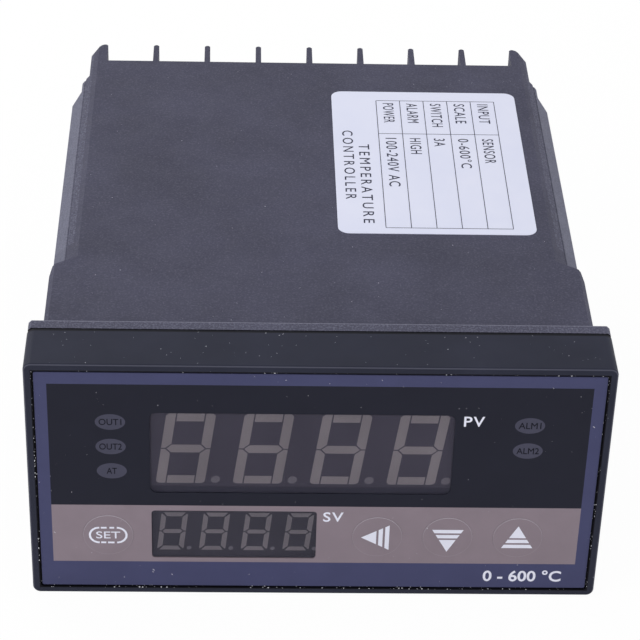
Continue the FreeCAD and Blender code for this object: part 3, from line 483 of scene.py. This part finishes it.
frame_plastic = moulded("frame_plastic", (44, 46, 59), 0.46, 0.5, 0.006, specular=0.06, dust=0.45)
tree = frame_plastic.node_tree
# Painted highlight: a light line along the frame's outer front edge.
outer_edge = between(tree, ALONG, *LIP_EDGE, 0.05)
rim = outside(tree, LIP_SIDE, LIP_TOP, 0.1)
overlay(frame_plastic, combine(tree, "MULTIPLY", outer_edge, rim), (78, 79, 92))
# Painted shade: the recess walls round the face sheet are coloured near black.
overlay(frame_plastic, inside(tree, RECESS_SIDE, RECESS_TOP, 0.04), (16, 16, 22))
ends = combine(tree, "MAXIMUM", between(tree, ACROSS, *GAP_SIDE, 0.05, both_sides=True),
               between(tree, UP, *GAP_TOP, 0.05, both_sides=True))
gap = combine(tree, "MULTIPLY", ends, inside(tree, GAP_SIDE[1], GAP_TOP[1], 0.05))
overlay(frame_plastic, combine(tree, "MULTIPLY", gap, specks(tree, 0.5, 0.14, 0.8)), (206, 206, 214))
# Painted shade: a dark band along the frame's rear edge, next to the seam.
overlay(frame_plastic, between(tree, ALONG, *FRAME_SEAM_SHADE, 0.12), (20, 21, 28))
give(frame_plastic, "front_frame")


# Face sheet: polycarbonate film, printed from behind in blue, near-black and warm grey, with
# clear places over the two displays and round cut-outs where the keys come through.
film_low, film_high = [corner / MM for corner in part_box("front_film")]
film_front, film_back = film_low.y, film_high.y
through = (film_front - 1, film_back + 1)
PANEL_SIDE, PANEL_TOP, PANEL_SPLIT, PANEL_FOOT = 44.3, 20.06, -4.88, -17.1
PV_WINDOW = (-27.8, 22.1, -2.2, 14.35)
SV_WINDOW = (-27.67, 0.0, -16.2, -6.0)
PV_CORNER, SV_CORNER = 1.2, 0.6
KEYS = {"set": -34.97, "shift": 10.3, "down": 22.18, "up": 34.06}
KEY_UP = -11.32
KEY_RADIUS = 4.2


def printed(name, colour, roughness=0.42, specular=0.06, dust=0.58):
    """Ink seen through satin film: very even, with a faint mottle and fine dust on top."""
    finish, tree, shader = new_finish(name, colour, roughness, specular)
    mottle = pattern(tree, "Noise", 5).outputs["Fac"]
    ink = blend_colours(tree, mottle, [part * 0.96 for part in colour], [part * 1.04 for part in colour])
    if dust:
        ink = dusty(tree, ink, (202, 202, 212), dust)
    tree.links.new(ink, shader.inputs["Base Color"])
    satin = pattern(tree, "Noise", 0.12).outputs["Fac"]
    tree.links.new(spread(tree, satin, roughness - 0.04, roughness + 0.04), shader.inputs["Roughness"])
    raise_skin(tree, shader, satin, 0.004)
    return finish


border = slab("blue_border", film_low.x, film_high.x, film_low.z, film_high.z, film_front, film_back, 0.3)
cut_out(border, slab("panel", -PANEL_SIDE, PANEL_SIDE, PANEL_FOOT, PANEL_TOP, *through))
border.data.materials.append(printed("blue_ink", (70, 72, 104)))
upper = slab("dark_panel", -PANEL_SIDE, PANEL_SIDE, PANEL_SPLIT, PANEL_TOP, film_front, film_back)
cut_out(upper, slab("window", *PV_WINDOW, *through, PV_CORNER))
LAMPS = {"OUT1": (-34.2, 12.45, 3.7), "OUT2": (-34.2, 7.4, 3.7), "AT": (-34.1, 2.35, 1.7),
         "ALM1": (34.4, 12.4, 3.7), "ALM2": (34.4, 7.2, 3.7)}
LAMP_RADIUS, LAMP_SQUEEZE = 2.475, 0.646
for across, up, width in LAMPS.values():
    cut_out(upper, disc("lamp", LAMP_RADIUS, *through, across, up, 48, LAMP_SQUEEZE))
upper.data.materials.append(printed("dark_ink", (36, 37, 48)))
strip = slab("grey_strip", -PANEL_SIDE, PANEL_SIDE, PANEL_FOOT, PANEL_SPLIT, film_front, film_back)
cut_out(strip, slab("window", *SV_WINDOW, *through, SV_CORNER))
for across in KEYS.values():
    cut_out(strip, disc("key", KEY_RADIUS + 0.02, *through, across, KEY_UP, 96))
grey_ink = printed("grey_ink", (135, 123, 132))
strip.data.materials.append(grey_ink)
sheet = gather([border, upper, strip], "face_sheet")
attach(sheet, "front_unit")
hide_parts("front_film")

smoke = printed("smoked_window", (50, 50, 62), 0.3, 0.1, 0.5)
smoke.node_tree.nodes["Principled BSDF"].inputs["Alpha"].default_value = 0.2
for name, window, corner in (("pv_window", PV_WINDOW, PV_CORNER), ("sv_window", SV_WINDOW, SV_CORNER)):
    pane = slab(name, *window, film_front, film_back, corner)
    pane.data.materials.append(smoke)
    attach(pane, "front_unit")

ovals = []
for across, up, width in LAMPS.values():
    ovals.append(disc("lamp", LAMP_RADIUS, film_front, film_back, across, up, 48, LAMP_SQUEEZE))
ovals = gather(ovals, "lamp_windows", printed("lamp_tint", (71, 71, 87), 0.4, 0.06, 0.4))
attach(ovals, "front_unit")


# Printing on the face: white legends beside the displays, dark ones over the lamps, and the
# measuring range at the lower right. Each is a thin layer of ink.
ink_face = film_front - INK / 2
white_words = [
    letters("PV", 3.4, 2.05, (25.23, ink_face, 13.15), FRONT, INK, 0.012, 1.15),
    letters("SV", 3.4, 2.05, (2.77, ink_face, -7.12), FRONT, INK, 0.012, 1.15),
    letters("0 - 600 \N{DEGREE SIGN}C", 13.4, 2.5, (35.4, ink_face, -19.75), FRONT, INK, 0.02),
]
white_ink = printed("white_ink", (226, 227, 242), 0.5, 0.3, 0.0)
white_words = gather(white_words, "white_legends", white_ink)
dark_words = []
for words, (across, up, width) in LAMPS.items():
    dark_words.append(letters(words, width, 1.25, (across, ink_face, up), FRONT, INK))
dark_words = gather(dark_words, "lamp_legends", printed("legend_ink", (20, 21, 30), 0.5, 0.05, 0.0))
for words in (white_words, dark_words):
    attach(words, "front_unit")


# Keys: domed film over each key, cut from the same grey sheet, with a fine rim where the edge is
# pressed, painted pale as a highlight and paler on its upper part. Each carries its own printed mark and
# sinks with its key.
ARROW_WIDTH, ARROW_HEIGHT = 5.3, 4.75
ARROW_GAPS = ((0.72, 1.1), (1.82, 2.18))


def arrow(name, turn):
    """A solid triangle cut by two thin gaps near its base, pointing up before it is turned."""
    bpy.ops.object.select_all(action="DESELECT")
    bpy.ops.mesh.primitive_circle_add(vertices=3, radius=MM, fill_type="NGON")
    mark = bpy.context.object
    mark.scale = (ARROW_WIDTH / math.sqrt(3), ARROW_HEIGHT / 1.5, 1)
    bpy.ops.object.transform_apply(scale=True)
    foot = min(vertex.co.y for vertex in mark.data.vertices)
    for gap in ARROW_GAPS:
        for up in gap:
            pick(mark, "FACE", lambda centre, normal: True)
            bpy.ops.mesh.bisect(plane_co=(0, foot + up * MM, 0), plane_no=(0, 1, 0))
            bpy.ops.object.mode_set(mode="OBJECT")
    pick(mark, "FACE", lambda centre, normal: any(
        low < (centre.y - foot) / MM < high for low, high in ARROW_GAPS))
    bpy.ops.mesh.delete(type="FACE")
    bpy.ops.object.mode_set(mode="OBJECT")
    middle = foot + ARROW_HEIGHT / 2 * MM
    mark.data.transform(Matrix.Rotation(turn, 4, "Z") @ Matrix.Translation((0, -middle, 0)))
    mark.name = name
    return mark


PILL_OUTER, PILL_INNER, PILL_STRETCH = 1.78, 1.42, 1.47
PILL_GAPS = {1: ((-1.46, -1.18), (-0.24, 0.24), (1.03, 1.4)),
             -1: ((-1.46, -1.2), (-0.36, -0.06), (1.09, 1.44))}


def pill():
    """A broken outline with round ends, for the key that opens the settings."""
    bpy.ops.object.select_all(action="DESELECT")
    bpy.ops.mesh.primitive_circle_add(vertices=48, radius=PILL_OUTER * MM)
    bpy.ops.object.mode_set(mode="EDIT")
    bpy.ops.mesh.primitive_circle_add(vertices=48, radius=PILL_INNER * MM)
    bpy.ops.object.mode_set(mode="OBJECT")
    mark = bpy.context.object
    for side in (1, -1):
        pick(mark, "EDGE", lambda a, b: min(a.x * side, b.x * side) > -1e-7)
        bpy.ops.transform.translate(value=(side * PILL_STRETCH * MM, 0, 0))
        bpy.ops.object.mode_set(mode="OBJECT")
    pick(mark, "EDGE", lambda a, b: True)
    bpy.ops.mesh.bridge_edge_loops()
    for across in sorted({edge for pairs in PILL_GAPS.values() for pair in pairs for edge in pair}):
        bpy.ops.mesh.select_all(action="SELECT")
        bpy.ops.mesh.bisect(plane_co=(across * MM, 0, 0), plane_no=(1, 0, 0))
    bpy.ops.object.mode_set(mode="OBJECT")
    pick(mark, "FACE", lambda centre, normal: any(
        low * MM < centre.x < high * MM for low, high in PILL_GAPS[1 if centre.y > 0 else -1]))
    bpy.ops.mesh.delete(type="FACE")
    bpy.ops.object.mode_set(mode="OBJECT")
    return mark


ARROW_TURNS = {"shift": math.pi / 2, "down": math.pi, "up": 0.0}
MIDDLE = {"set": (0, 0), "shift": (-0.35, -0.15), "down": (0, -0.75), "up": (0, 0.15)}
DOME_RISE, DOME_SKIN, RIM_WIDTH, BOSS_RADIUS = 0.05, 0.04, 0.07, 3.6
key_face = film_front - DOME_RISE
# Painted highlight: each key's rim is coloured paler than the sheet, and paler still towards its top.
rim_highlight = printed("key_rim_highlight", (142, 132, 141), 0.35, 0.3, 0.0)
tree = rim_highlight.node_tree
lit_upper_rim = spread(tree, place_along(tree, UP), 0.0, 1.0, (KEY_UP - 1) * MM, (KEY_UP + 4) * MM)
overlay(rim_highlight, lit_upper_rim, (184, 176, 186))
for key, across in KEYS.items():
    top = disc(f"{key}_key_top", KEY_RADIUS, key_face, key_face + DOME_SKIN, across, KEY_UP, 96)
    top.data.materials.append(grey_ink)
    top.data.materials.append(rim_highlight)
    pick(top, "FACE", lambda centre, normal: normal.y < -0.9)
    bpy.ops.mesh.inset(thickness=RIM_WIDTH * MM)
    bpy.ops.mesh.select_all(action="INVERT")
    bpy.context.object.active_material_index = 1
    bpy.ops.object.material_slot_assign()
    bpy.ops.object.mode_set(mode="OBJECT")
    boss = disc("boss", BOSS_RADIUS, key_face + 0.03, film_back + 0.04, across, KEY_UP, 48)
    boss.data.materials.append(grey_ink)
    top = gather([top, boss], f"{key}_key_top")
    if key == "set":
        mark = pill()
    else:
        mark = arrow(f"{key}_key_mark", ARROW_TURNS[key])
    shift, lift = MIDDLE[key]
    mark.data.transform(FRONT)
    middle = Vector((across + shift, key_face - INK, KEY_UP + lift))
    mark.data.transform(Matrix.Translation(middle * MM))
    bpy.context.view_layer.objects.active = mark
    thick = mark.modifiers.new("Ink", "SOLIDIFY")
    thick.thickness = INK * MM
    thick.offset = -1
    bpy.ops.object.modifier_apply(modifier=thick.name)
    marks = [mark]
    if key == "set":
        marks.append(letters("SET", 4.05, 1.5, (across, key_face - INK / 2, KEY_UP), FRONT, INK, 0.003))
    mark = gather(marks, f"{key}_key_mark", white_ink)
    for piece in (top, mark):
        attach(piece, f"{key}_key")
give(moulded("black_nylon", (38, 38, 44), 0.5, 0.4, 0.01), *[f"key_{key}" for key in KEYS])


# Displays: two four-digit lamp modules. Their faces are painted dark grey round segments of
# milky resin, which look pale grey while they are off.
PV_SHADE = (-4.0, -0.95)
PV_POINTS, SV_POINTS = (-17.02, 12.75, 0.95, 0.5), (-21.41, 7.05, 0.5, -14.28)
shell_face = moulded("display_shell", (86, 82, 97), 0.5, 0.3, 0.01, specular=0.1, shift=0.04)
# Painted shade: the lower band of the large display's face is darker, where the frame shades it.
overlay(shell_face, between(shell_face.node_tree, UP, *PV_SHADE, 0.1), (66, 65, 80))
segments_off = moulded("segment_resin", (158, 150, 157), 0.4, 0.6, 0.01, specular=0.1, shift=0.05)
small_shell = moulded("small_display_shell", (80, 78, 90), 0.5, 0.3, 0.01, specular=0.1, shift=0.04)
small_segments = moulded("small_segment_resin", (150, 143, 151), 0.4, 0.6, 0.01, specular=0.1, shift=0.06)
for finish, (first, pitch, radius, middle) in ((segments_off, PV_POINTS), (small_segments, SV_POINTS)):
    tree = finish.node_tree
    offset = combine(tree, "SUBTRACT", place_along(tree, ACROSS), first * MM)
    near = combine(tree, "LESS_THAN", combine(tree, "PINGPONG", offset, pitch / 2 * MM), radius * MM)
    level = between(tree, UP, middle - radius, middle + radius, 0.01)
    overlay(finish, combine(tree, "MULTIPLY", near, level), (132, 127, 138))
give(shell_face, "pv_display")
give(segments_off, "pv_segments")
give(small_shell, "sv_display")
give(small_segments, "sv_segments")


# Lamps: small blocks of tinted resin, one behind each oval window, that light the legends from
# behind.
give(moulded("lamp_resin", (120, 60, 56), 0.25, 0.8, 0.01, shift=0.1),
     "lamp_out1", "lamp_out2", "lamp_at", "lamp_alm1", "lamp_alm2")


# Key switches: black housings on the display board, with white plungers under the keys that
# the keys press in.
give(moulded("black_housing", (30, 30, 33), 0.42, 0.5, 0.01), *[f"switch_{key}" for key in KEYS])
white_nylon = moulded("white_nylon", (214, 212, 205), 0.45, 0.6, 0.01, shift=0.03)
give(white_nylon, *[f"plunger_{key}" for key in KEYS])


# Circuit boards: glass and epoxy under green lacquer, with copper tracks that show as paler
# bands and tinned pads on a tenth-inch grid.
INCH = 25.4
TRACKS = {"Mortar Size": 0.08, "Mortar Smooth": 0.1, "Brick Width": 1.5, "Row Height": 0.25}


def circuit(name, flat, turn):
    """Board lacquer with tracks and pads, laid flat along the two axes that flat leaves in."""
    finish, tree, shader = new_finish(name, (34, 84, 52), 0.36)
    tracks = pattern(tree, "Brick", INCH / 5, turn=turn)
    for socket, number in TRACKS.items():
        tracks.inputs[socket].default_value = number
    areas = pattern(tree, "Noise", 16, stretch=flat).outputs["Fac"]
    lacquer = blend_colours(tree, spread(tree, areas, 0.0, 1.0, 0.52, 0.53), (28, 72, 44), (38, 90, 56))
    bundles = pattern(tree, "Noise", 11, stretch=flat).outputs["Fac"]
    routed = combine(tree, "MULTIPLY", tracks.outputs["Fac"], spread(tree, bundles, 0.0, 1.0, 0.48, 0.5))
    lacquer = blend_colours(tree, routed, lacquer, (52, 112, 70))
    grid = pattern(tree, "Voronoi", INCH / 10, stretch=flat)
    grid.inputs["Randomness"].default_value = 0.0
    dots = combine(tree, "LESS_THAN", grid.outputs["Distance"], 0.2)
    groups = pattern(tree, "Noise", 9, stretch=flat).outputs["Fac"]
    pads = combine(tree, "MULTIPLY", dots, spread(tree, groups, 0.0, 1.0, 0.55, 0.56))
    face = blend_colours(tree, pads, lacquer, (190, 190, 186))
    tree.links.new(face, shader.inputs["Base Color"])
    tree.links.new(pads, shader.inputs["Metallic"])
    raise_skin(tree, shader, routed, 0.03)
    return finish


give(circuit("circuit_board", (1, 1, 0), (0, 0, 0)), "logic_board", "power_board")
give(circuit("display_circuit", (1, 0, 1), (math.pi / 2, 0, 0)), "display_board")


# Parts on the boards: headers, a transformer wound with yellow tape, blue relays, capacitors
# in dark sleeves with a pale stripe, and chips.
give(moulded("header_nylon", (26, 26, 30), 0.5, 0.4, 0.02), "logic_header", "power_header")
give(metal("core_steel", (112, 110, 110), 0.46, (1, 14, 1), (84, 74, 66)), "transformer_core")
give(moulded("bobbin_nylon", (206, 200, 186), 0.5, 0.5, 0.01, shift=0.03), "transformer_bobbin")
tape, tree, shader = new_finish("winding_tape", (198, 164, 60), 0.34)
wraps = pattern(tree, "Wave", 3.2)
wraps.bands_direction = "Z"
turns = blend_colours(tree, wraps.outputs["Fac"], (182, 148, 50), (212, 180, 78))
tree.links.new(turns, shader.inputs["Base Color"])
raise_skin(tree, shader, wraps.outputs["Fac"], 0.05)
give(tape, "transformer_winding")
give(moulded("relay_blue", (36, 78, 158), 0.36, 0.6, 0.01), "output_relay", "alarm_relay")
sleeve, tree, shader = new_finish("can_sleeve", (24, 26, 34), 0.32)
stripe = pattern(tree, "Gradient", 9)
stripe.gradient_type = "RADIAL"
marked = spread(tree, stripe.outputs["Fac"], 0.0, 1.0, 0.7, 0.71)
band = blend_colours(tree, marked, (24, 26, 34), (156, 158, 164))
tree.links.new(band, shader.inputs["Base Color"])
raise_skin(tree, shader, pattern(tree, "Noise", 2).outputs["Fac"], 0.03)
give(sleeve, "supply_capacitor", "filter_capacitor")
chip_resin = moulded("chip_resin", (32, 32, 34), 0.6, 0.15, 0.02)
give(chip_resin, "microcontroller", "input_converter", "voltage_regulator")


# Stand, light and view: a plain white table under soft light, brighter from the left.
def white_share(tree):
    """1 where a ray comes from the camera, a glossy surface or glass, and 0 elsewhere."""
    rays = tree.nodes.new("ShaderNodeLightPath")
    seen = rays.outputs["Is Camera Ray"]
    for name in ("Is Glossy Ray", "Is Transmission Ray"):
        seen = combine(tree, "MAXIMUM", seen, rays.outputs[name])
    return seen


TABLE_GAP = 0.0002
bpy.ops.object.select_all(action="DESELECT")
bpy.ops.mesh.primitive_plane_add(size=6, location=(0, 0, cad_box[0].z - TABLE_GAP))
table = bpy.context.object
table.name = "table"
paint = bpy.data.materials.new("table_white")
paint.use_nodes = True
tree = paint.node_tree
shader = tree.nodes["Principled BSDF"]
shader.inputs["Base Color"].default_value = (0.95, 0.95, 0.95, 1)
shader.inputs["Roughness"].default_value = 0.9
glow = tree.nodes.new("ShaderNodeEmission")
glow.inputs["Strength"].default_value = 1.0
mix = tree.nodes.new("ShaderNodeMixShader")
share = spread(tree, white_share(tree), 0.0, 0.97, 0.0, 1.0)
tree.links.new(share, mix.inputs[0])
tree.links.new(shader.outputs[0], mix.inputs[1])
tree.links.new(glow.outputs[0], mix.inputs[2])
tree.links.new(mix.outputs[0], tree.nodes["Material Output"].inputs["Surface"])
table.data.materials.append(paint)

world = bpy.data.worlds.new("studio")
bpy.context.scene.world = world
world.use_nodes = True
tree = world.node_tree
sky = tree.nodes["Background"]
sky.inputs["Color"].default_value = (1, 1, 1, 1)
tree.links.new(spread(tree, white_share(tree), 0.55, 1.0, 0.0, 1.0), sky.inputs["Strength"])


def soft_light(name, place, power, size, aim=(0, 0.03, 0)):
    """A square soft box that faces the object."""
    lamp = bpy.data.lights.new(name, "AREA")
    lamp.energy = power
    lamp.size = size
    box = bpy.data.objects.new(name, lamp)
    bpy.context.scene.collection.objects.link(box)
    box.location = place
    box.rotation_euler = (Vector(aim) - Vector(place)).to_track_quat("-Z", "Y").to_euler()


soft_light("left_softbox", (-0.6, -0.4, 0.45), 3.0, 0.5)
soft_light("right_softbox", (0.85, -0.15, 0.16), 3.1, 0.5)
soft_light("rear_softbox", (-0.3, 0.4, 0.4), 1.1, 0.35)

camera = bpy.data.cameras.new("camera")
camera.sensor_width = 36
camera.lens = 140.35
camera.clip_start = 0.01
view = bpy.data.objects.new("camera", camera)
bpy.context.scene.collection.objects.link(view)
view.location = (-0.013964, -0.336915, 0.258498)
view.rotation_euler = (0.963694, -0.027751, -0.021955)
bpy.context.scene.camera = view
bpy.context.scene.view_settings.view_transform = "Standard"
